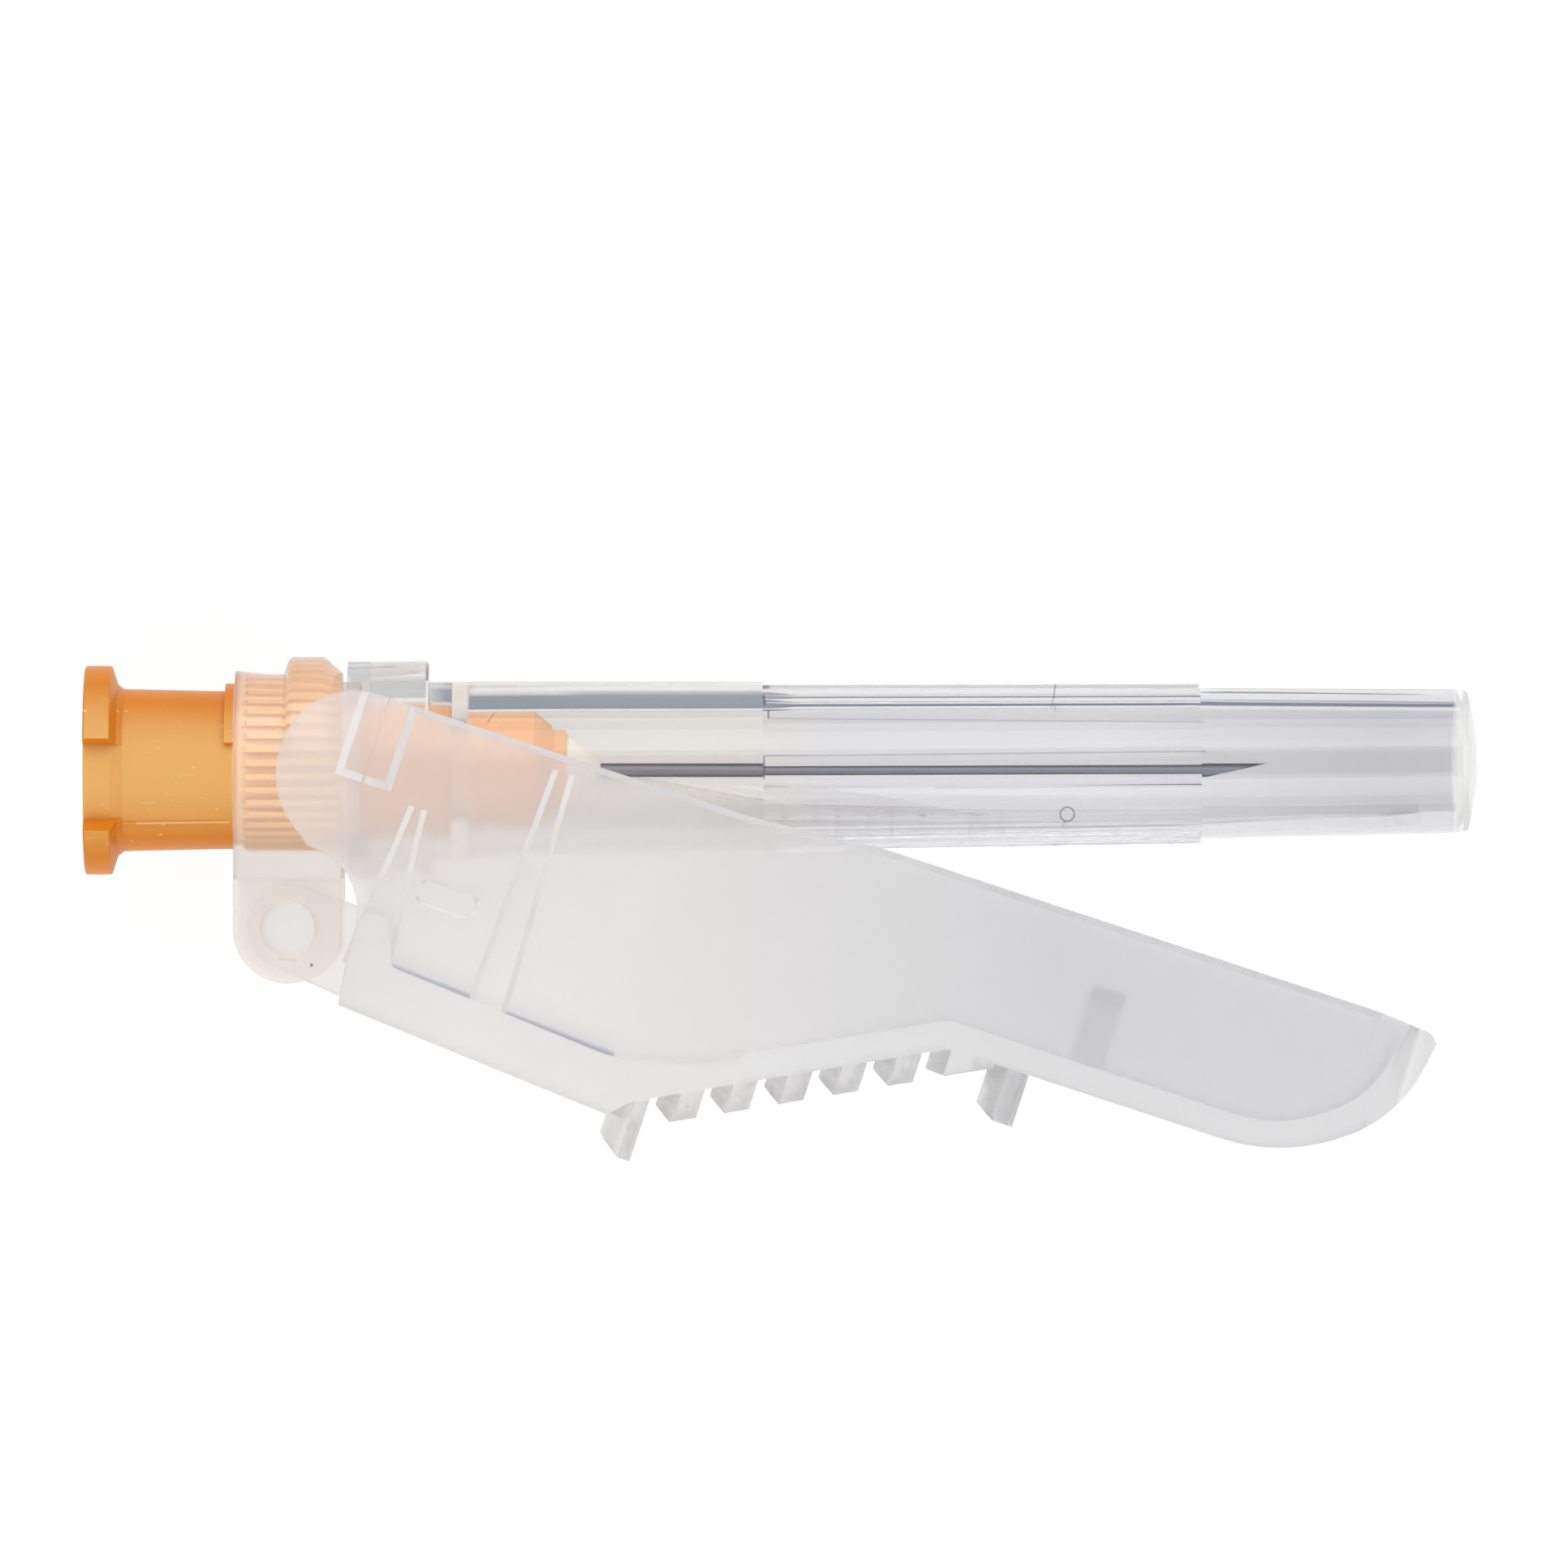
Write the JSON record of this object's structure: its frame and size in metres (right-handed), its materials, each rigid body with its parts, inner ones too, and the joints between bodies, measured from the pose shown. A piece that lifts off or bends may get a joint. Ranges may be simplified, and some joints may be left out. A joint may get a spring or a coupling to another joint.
{
  "type": "safety hypodermic needle",
  "caption": "Hypodermic needle with an orange luer lock hub, a steel cannula, a hinged see-through safety sheath and a clear protective cap, lying on its side.",
  "frame": {"origin": "centre of the hub's open end, the mouth of its luer cone, on the needle's axis", "axes": "+X along the needle to its point, +Y away from the sheath's side, +Z along the sheath's hinge, up from the table the needle lies on"},
  "size_m": [0.0519, 0.0187, 0.0108],
  "materials": {
    "hub_plastic": "orange polypropylene, smooth moulded, slightly translucent",
    "cannula_steel": "drawn stainless tube, siliconised",
    "adhesive": "cured cream epoxy",
    "natural_plastic": "natural milky polypropylene, smooth",
    "clear_plastic": "clear polypropylene, smooth"
  },
  "bodies": {
    "hub": {"needle_hub": "hub_plastic", "cannula": "cannula_steel", "adhesive_bead": "adhesive", "hinge_collar": "natural_plastic"},
    "guard": {"safety_sheath": "natural_plastic"},
    "cap": {"protective_cap": "clear_plastic"}
  },
  "joints": [
    {"name": "sheath_hinge", "type": "hinge", "parent": "hub", "child": "guard", "pos_m": [0.00767, -0.00587, 0], "axis": [0, 0, 1], "range_deg": [-150, 9]},
    {"name": "cap_pull", "type": "slide", "parent": "hub", "child": "cap", "axis": [1, 0.0096, 0], "range_m": [0, 0.045]}
  ]
}
